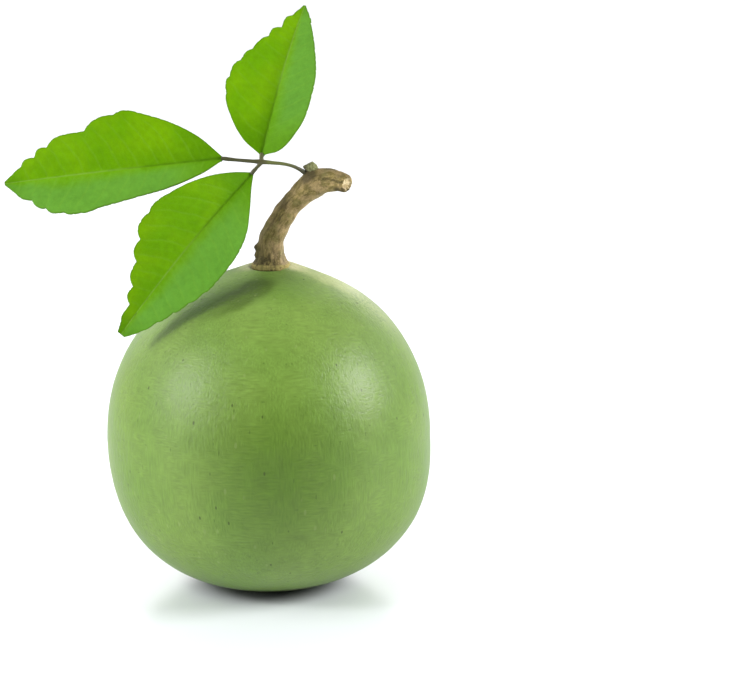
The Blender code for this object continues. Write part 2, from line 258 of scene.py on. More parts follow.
fruitSettings = {
    "shape": {
        "radius": 40.0 * mm, "equator": 36.8 * mm,
        "topReach": 42.0 * mm, "bottomReach": 37.25 * mm,
        "topFullness": 2.10, "bottomFullness": 2.39,
        "crownShift": 0.7 * mm, "bellyShift": 0.5 * mm,
        "rimRise": 1.9 * mm, "rimCentre": (0.7 * mm, 3.0 * mm), "rimSpread": 7.5 * mm,
        "seat": (4.3 * mm, 5.3 * mm),
        "fillet": 0.8 * mm, "filletWay": 0.6, "filletEnds": (-0.1, 0.6),  # no gap at the right and the back
        "lobes": ((2, 0.006, 0.0), (3, 0.004, 0.3)),  # number round the fruit, swell and turn
        "sides": 360, "rings": 230, "flatEdge": 0.15 * mm,
        "dents": ((16 * mm, 0.20 * mm), (4.5 * mm, 0.045 * mm), (1.6 * mm, 0.010 * mm)),  # size and depth
        "dentLevel": 0.75,
        "footDents": (0.2 * mm, 4 * mm), "crownDents": (6 * mm, 18 * mm),  # where they fade in
    },
    "rind": {
        "green": (0.153, 0.258, 0.042), "deep": (0.123, 0.225, 0.032), "yellow": (0.183, 0.278, 0.053),
        "pale": (0.330, 0.390, 0.150), "rimLightCream": (0.640, 0.600, 0.340), "front": (0.085, 0.175, 0.014),
        "rimLightStrip": (0.520, 0.560, 0.250), "shade": (0.055, 0.100, 0.007), "bellyShade": (0.072, 0.155, 0.008),
        "speck": (0.040, 0.055, 0.012), "scratch": (0.055, 0.095, 0.014), "contactShade": (0.030, 0.034, 0.006),
        "shares": {
            "green": 0.6, "crown": 0.35, "shoulder": 0.80, "front": 0.54, "bellyShade": 0.85, "light": 0.13,
            "flecks": 0.20, "glands": 0.14, "specks": 0.75, "scratches": 0.50, "crossScratches": 0.45,
        },
        # round zones: middle and reach in millimetres, and the share that is full
        "crownSpot": ((4, 9, 79), 28, 0.2), "shoulderSpot": ((24, 0, 70), 15, 0.1),
        # the strip and halo zones are painted rim light near the crown's back edge
        "rimLightStripSpot": ((16, 1, 76.5), 11, 0.4), "frontSpot": ((3, -11, 77), 12, 0.3),
        # the belly zone is painted shade on the front of the belly, partly the rind's own darker green
        "rimLightHaloSpot": ((1.4, 1.5, 79.6), 10.5, 0.5), "bellyShadeSpot": ((4, -39, 37), 27, 0.0),
        # painted light on the upper front
        "paintedLightSpot": ((4, -28, 64), 28, 0.3),
        "shadeSpots": (  # painted shadow that the lower leaflet casts on the shoulder
            ((-26.0, -17.0, 64.8), 4.0), ((-22.3, -18.2, 66.9), 5.0), ((-17.6, -18.5, 69.7), 6.0),
            ((-12.8, -18.4, 72.1), 6.5), ((-8.6, -17.8, 73.7), 7.0), ((-4.2, -15.6, 75.5), 7.5),
            ((-1.0, -12.2, 77.0), 6.5)),
        "shadeCore": 0.1, "shadeFade": (-17 * mm, -5 * mm), "shadeShares": (0.10, 0.85),
        "rimLightStripEnds": (-10 * mm, -4 * mm), "rimLightHaloEnds": (-5.0 * mm, -1.5 * mm),
        # foot bands: a painted bounce light in yellow just above the floor, then painted shade darkening
        # towards the rest
        "footBands": ((5.5, 3.5, 0.4, "yellow"), (9, 2.5, 0.50, "bellyShade"), (4.6, 2.2, 0.97, "contactShade")),
        # clouds: size, detail and roughness
        "patches": (24 * mm, 2.0), "mottle": (3.2 * mm, 4.0, 0.62), "strokes": (0.42 * mm, 2.0),
        "strokeTurns": (6 * mm, 1.0), "glints": (1.3 * mm, 2.0),
        "upStretch": (1, 1, 0.12), "crossStretch": (0.16, 0.3, 1), "glintStretch": (1, 1, 0.5),
        # marks: stretch, size of a cell, reach of its dot and share of the cells
        "glands": ((1, 1, 1), 1.3 * mm, 0.36), "flecks": ((1, 1, 0.45), 2.3 * mm, 0.20, 0.4),
        "specks": ((1, 1, 0.5), 4.2 * mm, 0.08, 0.6), "scratches": ((1, 1, 0.30), 1.7 * mm, 0.15, 0.4),
        "crossScratches": ((0.25, 0.5, 1), 1.5 * mm, 0.12, 0.4),
        "roughness": 0.40, "grainRoughness": 0.16, "shine": 0.33, "relief": 0.055 * mm,
        "crownRoughness": 0.25, "crownHeights": (73 * mm, 78 * mm),
    },
}


def fruitPlace(point, shape):  # from a unit sphere to the grown fruit
    angle = math.asin(max(-1.0, min(1.0, point.z)))
    fullness = shape["topFullness"] if angle > 0 else shape["bottomFullness"]
    reach = shape["topReach"] if angle > 0 else shape["bottomReach"]
    radius = shape["radius"] * math.cos(angle) ** (2 / fullness)
    height = reach * abs(math.sin(angle)) ** (2 / fullness)
    around = math.atan2(point.y, point.x)
    outward = radius / shape["radius"]
    swell = 1 + outward ** 2 * sum(share * math.sin(n * around + turn) for n, share, turn in shape["lobes"])
    x, y = radius * math.cos(around), radius * math.sin(around)
    if angle > 0:
        shift = shape["crownShift"] * (height / shape["topReach"]) ** 4
        fromRim = math.hypot(x - shape["rimCentre"][0], y - shape["rimCentre"][1])
        fillet = shape["fillet"] * ease(math.cos(around - shape["filletWay"]), *shape["filletEnds"])
        rise = shape["rimRise"] * bump(fromRim, shape["rimSpread"]) * ease(radius + fillet, *shape["seat"])
        z = shape["equator"] + height + rise
    else:
        shift = shape["bellyShift"] * math.sin(math.pi * height / shape["bottomReach"])
        over = shape["equator"] - height
        z = (over + math.hypot(over, shape["flatEdge"])) / 2
    return Vector((x * swell + shift, y * swell, z))


def makeFruit(shape):
    deselectAll()
    bpy.ops.mesh.primitive_uv_sphere_add(segments=shape["sides"], ring_count=shape["rings"], radius=1)
    fruit = nameNew("rind")
    moveVerts(fruit, [fruitPlace(vert.co, shape) for vert in fruit.data.vertices])
    soft = fruit.vertex_groups.new(name="soft")  # the flat spot and the crown stay as they are
    for vert in fruit.data.vertices:
        fromCrown = math.hypot(vert.co.x, vert.co.y) if vert.co.z > shape["equator"] else 1.0
        share = ease(vert.co.z, *shape["footDents"]) * ease(fromCrown, *shape["crownDents"])
        soft.add([vert.index], share, "REPLACE")
    for size, depth in shape["dents"]:
        dents = bpy.data.textures.new("dents", "CLOUDS")
        dents.noise_scale = size
        dents.noise_depth = 1
        applyModifier(fruit, "DISPLACE", texture=dents, strength=depth, mid_level=shape["dentLevel"],
                      vertex_group="soft", texture_coords="LOCAL")
    smoothShade(fruit)
    return fruit


def rindZones(paint, look, mottle, strokes):  # the wide zones of colour, from the crown down, with painted rim light, painted shadow, painted shade and painted light among them
    place, share = paint.place, look["shares"]
    patches = paint.cloud(place, *look["patches"])
    colour = paint.mix(paint.fade(patches, 0.35, 0.65), look["deep"], look["yellow"])
    colour = paint.mix(share["green"], colour, look["green"])
    crown = paint.spot(*look["crownSpot"]) * paint.fade(mottle, 0.25, 0.65)
    colour = paint.mix(crown * share["crown"], colour, look["pale"])
    shoulder = paint.spot(*look["shoulderSpot"]) * paint.fade(strokes, 0.30, 0.60)
    colour = paint.mix(shoulder * share["shoulder"], colour, look["pale"])
    depth = paint.axis(place, "Y")
    # painted rim light: a pale strip on the right of the crown, towards the back
    rimLightStrip = paint.spot(*look["rimLightStripSpot"]) * paint.fade(depth, *look["rimLightStripEnds"])
    colour = paint.mix(rimLightStrip * (0.30 + 0.45 * mottle), colour, look["rimLightStrip"])
    colour = paint.mix(paint.spot(*look["frontSpot"]) * share["front"], colour, look["front"])
    # painted shadow of the lower leaflet: a dark strip on the shoulder
    shade = sum(paint.spot(middle, reach, look["shadeCore"]) for middle, reach in look["shadeSpots"])
    shade = paint.fade(shade + 1.1 * mottle + 0.5 * strokes, 0.95, 1.9)
    shade = shade * paint.fade(paint.axis(place, "X"), *look["shadeFade"], *look["shadeShares"])
    colour = paint.mix(shade, colour, look["shade"])
    # painted rim light: a cream halo round the collar, towards the back
    rimLightHalo = paint.spot(*look["rimLightHaloSpot"]) * paint.fade(depth, *look["rimLightHaloEnds"])
    colour = paint.mix(rimLightHalo * (0.45 + 0.5 * mottle), colour, look["rimLightCream"])
    # painted shade on the front of the belly, partly the rind's own darker green
    bellyShade = paint.spot(*look["bellyShadeSpot"]) * (0.60 + 0.5 * mottle)
    colour = paint.mix(bellyShade * share["bellyShade"], colour, look["bellyShade"])
    # painted light: the upper front made lighter
    return paint.tone(colour, 1.0 + share["light"] * paint.spot(*look["paintedLightSpot"]))


def rindMarks(paint, look, colour, glands, height):  # flecks, glands, specks, scratches, and painted bounce light and painted shade at the foot
    share = look["shares"]
    colour = paint.mix(paint.marks(*look["flecks"]) * share["flecks"], colour, look["pale"])
    colour = paint.mix(glands * share["glands"], colour, look["deep"])
    colour = paint.mix(paint.marks(*look["specks"]) * share["specks"], colour, look["speck"])
    scratches = (paint.marks(*look["scratches"]) * share["scratches"]
                 + paint.marks(*look["crossScratches"]) * share["crossScratches"])
    colour = paint.mix(scratches, colour, look["scratch"])
    # painted bounce light and painted shade near the floor
    for top, bottom, strength, name in look["footBands"]:
        colour = paint.mix(paint.fade(height, top * mm, bottom * mm) * strength, colour, look[name])
    return colour


def rindPaint(look):
    paint = Paint("rind", look["roughness"], **{"Specular IOR Level": look["shine"]})
    place = paint.place
    height = paint.axis(place, "Z")
    mottle = paint.cloud(place, *look["mottle"])
    upStrokes = paint.cloud(paint.stretch(place, look["upStretch"]), *look["strokes"])
    crossStrokes = paint.cloud(paint.stretch(place, look["crossStretch"]), *look["strokes"])
    turns = paint.fade(paint.cloud(place, *look["strokeTurns"]), 0.46, 0.62)
    strokes = paint.axis(paint.mix(turns, upStrokes, crossStrokes), "X")
    glands = paint.marks(*look["glands"])
    glints = paint.cloud(paint.stretch(place, look["glintStretch"]), *look["glints"])
    colour = rindZones(paint, look, mottle, strokes)
    colour = paint.tone(colour, 0.80 + 0.40 * mottle)
    colour = paint.tone(colour, 0.68 + 0.64 * strokes)
    colour = rindMarks(paint, look, colour, glands, height)
    grain = look["grainRoughness"]
    roughness = (look["roughness"] - grain + grain * mottle + grain * strokes
                 + look["crownRoughness"] * paint.fade(height, *look["crownHeights"]))
    paint.relief(mottle * 1.2 + glints * 1.3 + strokes * 1.2 - glands * 0.30, look["relief"])
    return paint.wear(colour, roughness)


fruit = makeFruit(fruitSettings["shape"])
finishPiece(fruit, [rindPaint(fruitSettings["rind"])], "rind", "fruit")


# Twig: woody stalk with the collar at its foot, its elbow and its cut end

twigSettings = {
    "shape": {
        "line": (  # x, y, z and radius in millimetres
            (0.8, 0.0, 78.3, 4.6), (0.85, 0.0, 79.2, 4.75), (0.85, 0.0, 79.9, 4.6), (0.85, 0.0, 80.5, 4.2),
            (0.85, 0.0, 81.4, 3.75), (0.8, 0.0, 82.7, 3.35), (1.1, 0.0, 86.1, 3.05), (3.8, 0.0, 91.6, 2.8),
            (6.6, 0.0, 95.2, 2.7), (9.4, -0.4, 98.0, 3.1), (12.0, -1.2, 100.05, 3.5),
            (14.9, -2.6, 100.9, 2.85), (17.2, -4.4, 101.0, 2.5), (19.2, -6.3, 100.7, 2.2)),
        "knots": (  # x, y, z, height and width in millimetres
            (-2.3, -0.8, 84.3, 1.0, 0.9), (-2.9, -1.0, 82.3, 0.8, 0.8), (8.5, 2.2, 100.5, 0.5, 1.4),
            (15.0, -5.0, 102.7, 0.4, 1.2), (5.2, -2.4, 91.0, 0.3, 1.3)),
        "rippleWaves": ((900, 0, 1400), (0, 2300, 800)), "ripple": 0.06 * mm,
        "sides": 128, "rows": 440, "footRows": 14, "endRows": 34, "step": 0.05 * mm,
        "flatFoot": 0.6 * mm, "flatEnd": 0.5 * mm,  # the bark's relief dies out over these lengths
        "cracks": (  # stretch, scale, shift, width and share of the depth
            ((1, 1, 0.22), 1100, (0, 0, 0), 0.11, 0.8), ((1, 1, 0.30), 2600, (7, 3, 1), 0.10, 0.35),
            ((0.5, 0.5, 1), 1500, (3, 8, 2), 0.06, 0.3)),
        "crackGaps": ((1, 1, 1), 500, (5, 5, 5)), "crackDepth": 0.10 * mm,
        "furrows": ((1, 1, 0.45), 620, (1, 9, 4)), "furrowDepth": 0.06 * mm,
        "wartScale": 620, "wartWidth": 0.32, "wartHeight": 0.09 * mm,
        # cut face: its uneven rim, the rounded share of bark and the rough wood
        "rimHeight": 0.6 * mm, "lipHeight": 0.25 * mm, "barkShare": 0.34, "barkDome": 0.45 * mm,
        "woodSink": 0.35 * mm, "woodGrain": 0.10 * mm, "woodEnds": (0.30, 0.42),
    },
    "bark": {
        "olive": (0.160, 0.124, 0.026), "tan": (0.33, 0.248, 0.085), "dark": (0.048, 0.034, 0.008),
        "pink": (0.48, 0.340, 0.160), "moss": (0.170, 0.165, 0.040), "ring": (0.48, 0.395, 0.125),
        "rimLightCream": (0.62, 0.50, 0.32), "wood": (0.76, 0.62, 0.38), "woodRim": (0.36, 0.32, 0.11),
        "mossShare": 0.4, "crackShare": 0.55, "lowShare": 0.22,
        # clouds: size, detail and roughness
        "patches": (3.6 * mm, 3.0, 0.6), "streaks": (0.8 * mm, 3.0, 0.65), "grit": (0.30 * mm, 3.0, 0.7),
        "mossy": (2.6 * mm, 2.0), "brown": (1.0 * mm, 4.0, 0.7),
        "streakStretch": (1, 1, 0.4), "brownStretch": (1, 1, 0.28),
        # across the twig, less than 0 on the side towards +X
        # the west zone is darker bark and painted shade on the -X side; the rim zone is painted rim light
        # on the +X edge
        "east": (0.5 * mm, -3.2 * mm), "westDarkAndShade": (0.6 * mm, 2.8 * mm), "rim": (-2.1 * mm, -2.9 * mm),
        # heights between which a zone fades in
        "rimHeights": (101 * mm, 97 * mm), "ringHeights": (80.9 * mm, 80.4 * mm), "ringWave": 0.8 * mm,
        "flareHeights": (85.5 * mm, 81.0 * mm), "pitHeights": (81.8 * mm, 80.6 * mm),
        "jointShadeHeights": (79.25 * mm, 78.9 * mm), "lowHeights": (94 * mm, 85 * mm),
        "pits": (1.2 * mm, 0.42, 0.6),
        # round zones: middle and reach in millimetres, and the share that is full
        # axil spots: painted shade in the crease where the leaf stalk leaves the twig and under the cut end
        "axilShadeSpots": (((10.5, -2.9, 101.8), 3.4, 0.0), ((17.8, -6.2, 98.9), 2.6, 0.0)),
        "scarSpots": (((-3.0, -1.0, 84.3), 1.3), ((-3.6, -1.1, 82.3), 1.1)),
        "cutEnds": (19.6 * mm, 21.4 * mm), "roughness": 0.85, "relief": 0.16 * mm,
    },
}


def twigLines(shape):  # four smooth curves over the length of the twig
    points = [Vector(point[:3]) * mm for point in shape["line"]]
    lengths = [0.0]
    for point, after in zip(points, points[1:]):
        lengths.append(lengths[-1] + (after - point).length)
    curves = [[(length, point[i] * mm) for length, point in zip(lengths, shape["line"])] for i in range(4)]
    return curves, lengths[-1]


def twigFrame(shape, curves, along):  # middle, direction, two sides and radius at one place
    length = curves[0][-1][0]
    back, on = max(along - shape["step"], 0.0), min(along + shape["step"], length)
    centre = Vector([readCurve(curve, along) for curve in curves[:3]])
    tangent = Vector([readCurve(curve, on) - readCurve(curve, back) for curve in curves[:3]]).normalized()
    side = (Vector((0, 1, 0)) - tangent * tangent.y).normalized()
    return centre, tangent, side, tangent.cross(side), readCurve(curves[3], along)


def barkNoise(straight, stretch, scale, shift):
    stretched = Vector([number * factor for number, factor in zip(straight, stretch)])
    return noise.noise(stretched * scale + Vector(shift))


def barkRelief(shape, straight, flat):  # straight: place on the twig as if it were straight
    crack = sum(bump(barkNoise(straight, *pattern), width) * share
                for *pattern, width, share in shape["cracks"])
    near, wart = noise.voronoi(straight * shape["wartScale"])
    warts = bump(near[0], shape["wartWidth"]) * ease(noise.noise(wart[0] * 0.7), -0.1, 0.25)
    crack *= ease(barkNoise(straight, *shape["crackGaps"]), -0.35, 0.35) * (1 - warts)
    height = (shape["wartHeight"] * warts - shape["crackDepth"] * crack
              + shape["furrowDepth"] * barkNoise(straight, *shape["furrows"])) * flat
    return height, crack


def barkPlace(shape, centre, way, radius, straight, flat):
    height, crack = barkRelief(shape, straight, flat)
    place = centre + way * radius
    ripple = sum(math.sin(place.dot(Vector(wave))) for wave in shape["rippleWaves"])
    height += shape["ripple"] * ripple * flat
    height += sum(high * mm * bump((place - Vector((x, y, z)) * mm).length, wide * mm)
                  for x, y, z, high, wide in shape["knots"])
    return place + way * height, crack


def cutPlace(shape, centre, tangent, way, around, radius, t):  # rounded edge of bark, then the wood
    rim = noise.noise(Vector((math.cos(around), math.sin(around), 0)) * 2.2) * shape["rimHeight"]
    lip = noise.noise(Vector((math.cos(around), math.sin(around), 3)) * 4.5) * shape["lipHeight"]
    outward = way * (radius - radius * t)
    dome = shape["barkDome"] * math.sin(math.pi * min(t / shape["barkShare"], 1.0) * 0.5)
    dome -= shape["woodSink"] * ease(t, shape["barkShare"], 0.5)
    dome += (rim + lip) * ease(t, 0.0, 0.2) * ease(1 - t, 0, 0.5)
    dome += noise.noise(outward * 1500) * shape["woodGrain"] * ease(t, 0.1, 0.3)
    return centre + outward + tangent * dome, ease(t + rim / mm * 0.25, *shape["woodEnds"])


def makeTwig(shape):
    curves, length = twigLines(shape)
    deselectAll()
    bpy.ops.mesh.primitive_grid_add(x_subdivisions=shape["sides"], y_subdivisions=shape["rows"], size=1)
    twig = nameNew("twig")
    places, grain, cracks, cuts = [], [], [], []
    foot, last = shape["footRows"], shape["rows"] - shape["endRows"]
    for vert in twig.data.vertices:
        around = 2 * math.pi * (vert.co.x + 0.5)
        row = round((vert.co.y + 0.5) * shape["rows"])
        along = length * min(max((row - foot) / (last - foot), 0.0), 1.0)
        centre, tangent, side, other, radius = twigFrame(shape, curves, along)
        way = side * math.cos(around) + other * math.sin(around)
        straight = Vector((radius * math.cos(around), radius * math.sin(around), along))
        crack = cut = 0.0
        if row < foot:  # underside, hidden in the fruit
            place = centre + way * (radius * row / foot)
        elif row <= last:
            flat = ease(along, 0.0, shape["flatFoot"]) * ease(length - along, 0.0, shape["flatEnd"])
            place, crack = barkPlace(shape, centre, way, radius, straight, flat)
        else:
            t = (row - last) / shape["endRows"]
            place, cut = cutPlace(shape, centre, tangent, way, around, radius, t)
            straight = Vector((straight.x * (1 - t), straight.y * (1 - t), along))
        places.append(place)
        grain.append(straight)
        cracks.append(crack)
        cuts.append(cut)
    moveVerts(twig, places)
    addVectors(twig, "grain", grain)
    addNumbers(twig, "crack", cracks)
    addNumbers(twig, "cut", cuts)
    weld(twig)
    smoothShade(twig, 60)
    return twig


def barkColour(paint, look, streaks, east):  # streaks, patches, moss and the two sides, with painted shade on the -X side and painted rim light on the +X edge
    grain = paint.read("grain", "Vector")
    across, height = paint.axis(grain, "Y"), paint.axis(paint.place, "Z")
    colour = paint.mix(paint.fade(streaks, 0.38, 0.64), look["olive"], look["tan"])
    patches = paint.fade(paint.cloud(grain, *look["patches"]), 0.42, 0.60)
    colour = paint.mix(patches * (0.50 + 0.40 * east), colour, look["pink"])
    mossy = paint.fade(paint.cloud(grain, *look["mossy"]), 0.52, 0.66)
    colour = paint.mix(mossy * look["mossShare"], colour, look["moss"])
    brown = paint.fade(paint.cloud(paint.stretch(grain, look["brownStretch"]), *look["brown"]), 0.50, 0.68)
    colour = paint.mix(brown * (0.75 - 0.50 * east), colour, look["dark"])
    # darker on the side towards -X: the bark's own brown and painted shade
    westDarkAndShade = paint.fade(across, *look["westDarkAndShade"])
    colour = paint.mix(westDarkAndShade * (0.15 + 0.6 * streaks), colour, look["dark"])
    # painted rim light: a cream edge on the +X side of the upper twig
    rim = paint.fade(across, *look["rim"]) * paint.fade(height, *look["rimHeights"])
    return paint.mix(rim * (0.15 + 0.4 * streaks), colour, look["rimLightCream"])


def collarColour(paint, look, colour, streaks, east):  # the ring, the flare over it, the pits and painted shade where the twig meets the fruit
    height = paint.axis(paint.place, "Z")
    ring = paint.fade(height + look["ringWave"] * streaks, *look["ringHeights"])
    flare = paint.fade(height, *look["flareHeights"]) * (1 - ring)
    colour = paint.mix(ring * (0.6 + 0.35 * east), colour, look["ring"])
    colour = paint.mix(flare * paint.fade(streaks, 0.62, 0.42) * (0.80 - 0.5 * east), colour, look["dark"])
    pits = paint.dots(paint.read("grain", "Vector"), *look["pits"])
    pits = pits * paint.fade(height, *look["pitHeights"])
    colour = paint.mix(pits * (0.75 - 0.5 * east), colour, look["dark"])
    # painted shade in the crevice where the twig meets the fruit, darker on the -X side
    joint = paint.fade(height, *look["jointShadeHeights"])
    return paint.mix(joint * (0.85 - 0.85 * east), colour, look["dark"])


def barkPaint(look):
    paint = Paint("bark", look["roughness"])
    place, grain = paint.place, paint.read("grain", "Vector")
    streaks = paint.cloud(paint.stretch(grain, look["streakStretch"]), *look["streaks"])
    grit = paint.cloud(grain, *look["grit"])
    east = paint.fade(paint.axis(grain, "Y"), *look["east"])  # the side towards +X is paler
    colour = barkColour(paint, look, streaks, east)
    colour = collarColour(paint, look, colour, streaks, east)
    # painted shade in the axil and under the cut end; the scars are the bark's own marks
    axilShade = sum(paint.spot(*spot) for spot in look["axilShadeSpots"])
    axilShade = paint.fade(axilShade + 1.0 * streaks + 0.6 * grit, 0.95, 1.45)
    scars = sum(paint.spot(*spot) for spot in look["scarSpots"])
    colour = paint.mix(axilShade * 0.8 + scars * 0.9, colour, look["dark"])
    colour = paint.mix(paint.read("crack") * look["crackShare"], colour, look["dark"])
    low = paint.fade(paint.axis(place, "Z"), *look["lowHeights"])
    colour = paint.mix(low * look["lowShare"], colour, look["dark"])
    colour = paint.tone(colour, 0.34 + 1.40 * grit)
    wood = paint.mix(paint.fade(grit, 0.35, 0.7) * 0.4, look["wood"], look["woodRim"])
    wood = paint.mix(paint.fade(paint.axis(place, "X"), *look["cutEnds"]) * 0.7, wood, look["woodRim"])
    colour = paint.mix(paint.read("cut"), colour, wood)
    paint.relief(grit * 0.9 + streaks * 0.8, look["relief"])
    return paint.wear(colour)


twig = makeTwig(twigSettings["shape"])
finishPiece(twig, [barkPaint(twigSettings["bark"])], "bark", "stalk")


# Bud: a grey-green nub over the foot of the leaf

budSettings = {
    "shape": {
        "sides": 72, "rings": 48,
        # places, reaches and depths in millimetres
        "centre": (11.2, -1.5, 103.4), "halfSize": (1.45, 1.35, 1.75),
        "point": (-0.96, -0.05, 0.26), "pointReach": 1.0, "pointSharpness": 9,
        "knob": (-0.15, -0.3, 0.94), "knobReach": 0.30, "knobSharpness": 10,
        "folds": (  # direction, place along it, width and strength
            ((0.55, -0.45, 0.35), 0.25, 0.07, 1.0), ((1, 0.35, 0), -0.35, 0.06, 0.7)),
        "foldDepth": 0.12, "lumps": 0.18, "grain": 0.05, "slope": 0.45, "flatTop": 0.6,
    },
    "skin": {
        "green": (0.32, 0.33, 0.135), "olive": (0.135, 0.145, 0.042), "dark": (0.065, 0.050, 0.020),
        "fold": (0.085, 0.080, 0.030), "lowShare": 0.7, "tipShare": 0.75, "foldShare": 0.45,
        "lowHeights": (103.7 * mm, 102.6 * mm), "tipEnds": (11.0 * mm, 9.3 * mm),
        "grit": (0.5 * mm, 3.0, 0.6), "roughness": 0.7, "relief": 0.12 * mm,
    },
}


def makeBud(shape):
    deselectAll()
    bpy.ops.mesh.primitive_uv_sphere_add(segments=shape["sides"], ring_count=shape["rings"], radius=1)
    bud = nameNew("budNub")
    pointWay, knobWay = Vector(shape["point"]).normalized(), Vector(shape["knob"]).normalized()
    places, folds = [], []
    for vert in bud.data.vertices:
        way = vert.co.normalized()
        tip = shape["pointReach"] * max(way.dot(pointWay), 0.0) ** shape["pointSharpness"]
        knob = shape["knobReach"] * max(way.dot(knobWay), 0.0) ** shape["knobSharpness"]
        fold = sum(strength * bump(way.dot(Vector(across)) - place, width)
                   for across, place, width, strength in shape["folds"])
        lump = (noise.noise(way * 3.1) * shape["lumps"] + (noise.noise(way * 9) - 1) * shape["grain"]
                - shape["foldDepth"] * fold)
        lump *= 1 - shape["flatTop"] * max(way.z, 0)
        slope = -shape["slope"] * max(way.x, 0.0) * max(way.z, 0.0)
        body = Vector([way[i] * (shape["halfSize"][i] + lump) for i in range(3)])
        places.append((Vector(shape["centre"]) + body + pointWay * tip + Vector((0, 0, knob + slope))) * mm)
        folds.append(fold)
    moveVerts(bud, places)
    addNumbers(bud, "fold", folds)
    smoothShade(bud, 60)
    return bud


def budPaint(look):
    paint = Paint("budScales", look["roughness"])
    grit = paint.cloud(paint.place, *look["grit"])
    colour = paint.mix(paint.fade(grit, 0.35, 0.65), look["olive"], look["green"])
    low = paint.fade(paint.axis(paint.place, "Z"), *look["lowHeights"])
    tip = paint.fade(paint.axis(paint.place, "X"), *look["tipEnds"])
    colour = paint.mix(low * look["lowShare"] + tip * look["tipShare"], colour, look["dark"])
    colour = paint.mix(paint.read("fold") * look["foldShare"], colour, look["fold"])
    paint.relief(grit, look["relief"])
    return paint.wear(colour)


bud = makeBud(budSettings["shape"])
finishPiece(bud, [budPaint(budSettings["skin"])], "bud", "bud")


# Leaf stalks: the petiole and its three short side stalks, grown as one

stalkSettings = {
    "shape": {
        "lines": (  # x, y, z and radius in millimetres
            ((10.9, -1.0, 100.6, 0.95), (10.3, -1.3, 101.4, 0.82), (9.6, -1.6, 102.3, 0.66),
             (8.2, -2.2, 103.4, 0.48), (6.3, -2.8, 104.4, 0.42), (4.1, -3.4, 105.0, 0.42),
             (1.7, -3.8, 105.3, 0.46), (-0.9, -4.2, 105.6, 0.60), (-3.5, -4.4, 105.8, 0.46),
             (-7.0, -4.5, 106.1, 0.42), (-9.4, -4.5, 106.35, 0.52), (-10.7, -4.5, 106.5, 0.44)),
            ((-0.9, -4.2, 105.5, 0.55), (-1.0, -4.1, 106.3, 0.52), (-1.0, -4.0, 107.2, 0.56),
             (-0.95, -3.8, 107.7, 0.42)),
            ((-0.8, -4.2, 105.7, 0.55), (-2.0, -4.6, 104.4, 0.44), (-3.1, -5.0, 103.2, 0.52),
             (-3.45, -5.1, 102.7, 0.42))),
        "steps": 8, "roundness": 6, "grainSize": 0.09 * mm,
    },
    "skin": {
        "green": (0.118, 0.132, 0.032), "brown": (0.055, 0.050, 0.020), "westBrown": (0.058, 0.058, 0.016),
        "joint": (0.060, 0.045, 0.020), "jointSpot": ((-0.9, -4.3, 105.5), 1.6, 0.45), "jointShare": 0.4,
        "greenEnds": (9.6 * mm, 4.0 * mm), "westEnds": (1.0 * mm, -2.5 * mm),
        "grit": (0.4 * mm, 2.0), "gritStretch": (0.3, 1, 1), "roughness": 0.5, "relief": 0.05 * mm,
    },
}


def makeTube(name, line, shape):  # round tube along a smooth line
    deselectAll()
    bpy.ops.curve.primitive_bezier_curve_add()
    guide = nameNew(name)
    curve = guide.data
    points = curve.splines[0].bezier_points
    points.add(len(line) - len(points))
    for point, (x, y, z, radius) in zip(points, line):
        point.co = (x * mm, y * mm, z * mm)
        point.radius = radius
        point.handle_left_type = point.handle_right_type = "AUTO"
    curve.resolution_u = shape["steps"]
    curve.bevel_depth = mm
    curve.bevel_resolution = shape["roundness"]
    curve.use_fill_caps = True
    bpy.ops.object.convert(target="MESH")
    tube = bpy.context.object
    weld(tube, 1e-6)
    return tube


def makeStalks(shape):
    tubes = [makeTube("leafStalk", line, shape) for line in shape["lines"]]
    pick(*tubes)
    bpy.ops.object.join()
    stalks = bpy.context.object
    applyModifier(stalks, "REMESH", mode="VOXEL", voxel_size=shape["grainSize"])
    applyModifier(stalks, "SMOOTH", factor=0.5, iterations=3)
    smoothShade(stalks, 80)
    return stalks


def stalkPaint(look):
    paint = Paint("leafStalkSkin", look["roughness"])
    x = paint.axis(paint.place, "X")
    grit = paint.cloud(paint.stretch(paint.place, look["gritStretch"]), *look["grit"])
    colour = paint.mix(paint.fade(x, *look["greenEnds"]), look["brown"], look["green"])
    colour = paint.mix(paint.fade(x, *look["westEnds"]), colour, look["westBrown"])
    colour = paint.mix(paint.spot(*look["jointSpot"]) * look["jointShare"], colour, look["joint"])
    colour = paint.tone(colour, 0.7 + 0.6 * grit)
    paint.relief(grit, look["relief"])
    return paint.wear(colour)


stalks = makeStalks(stalkSettings["shape"])
finishPiece(stalks, [stalkPaint(stalkSettings["skin"])], "leaf_stalk", "petiole")


# Leaflets: a thin folded blade each, with scalloped edges, a midrib and side veins

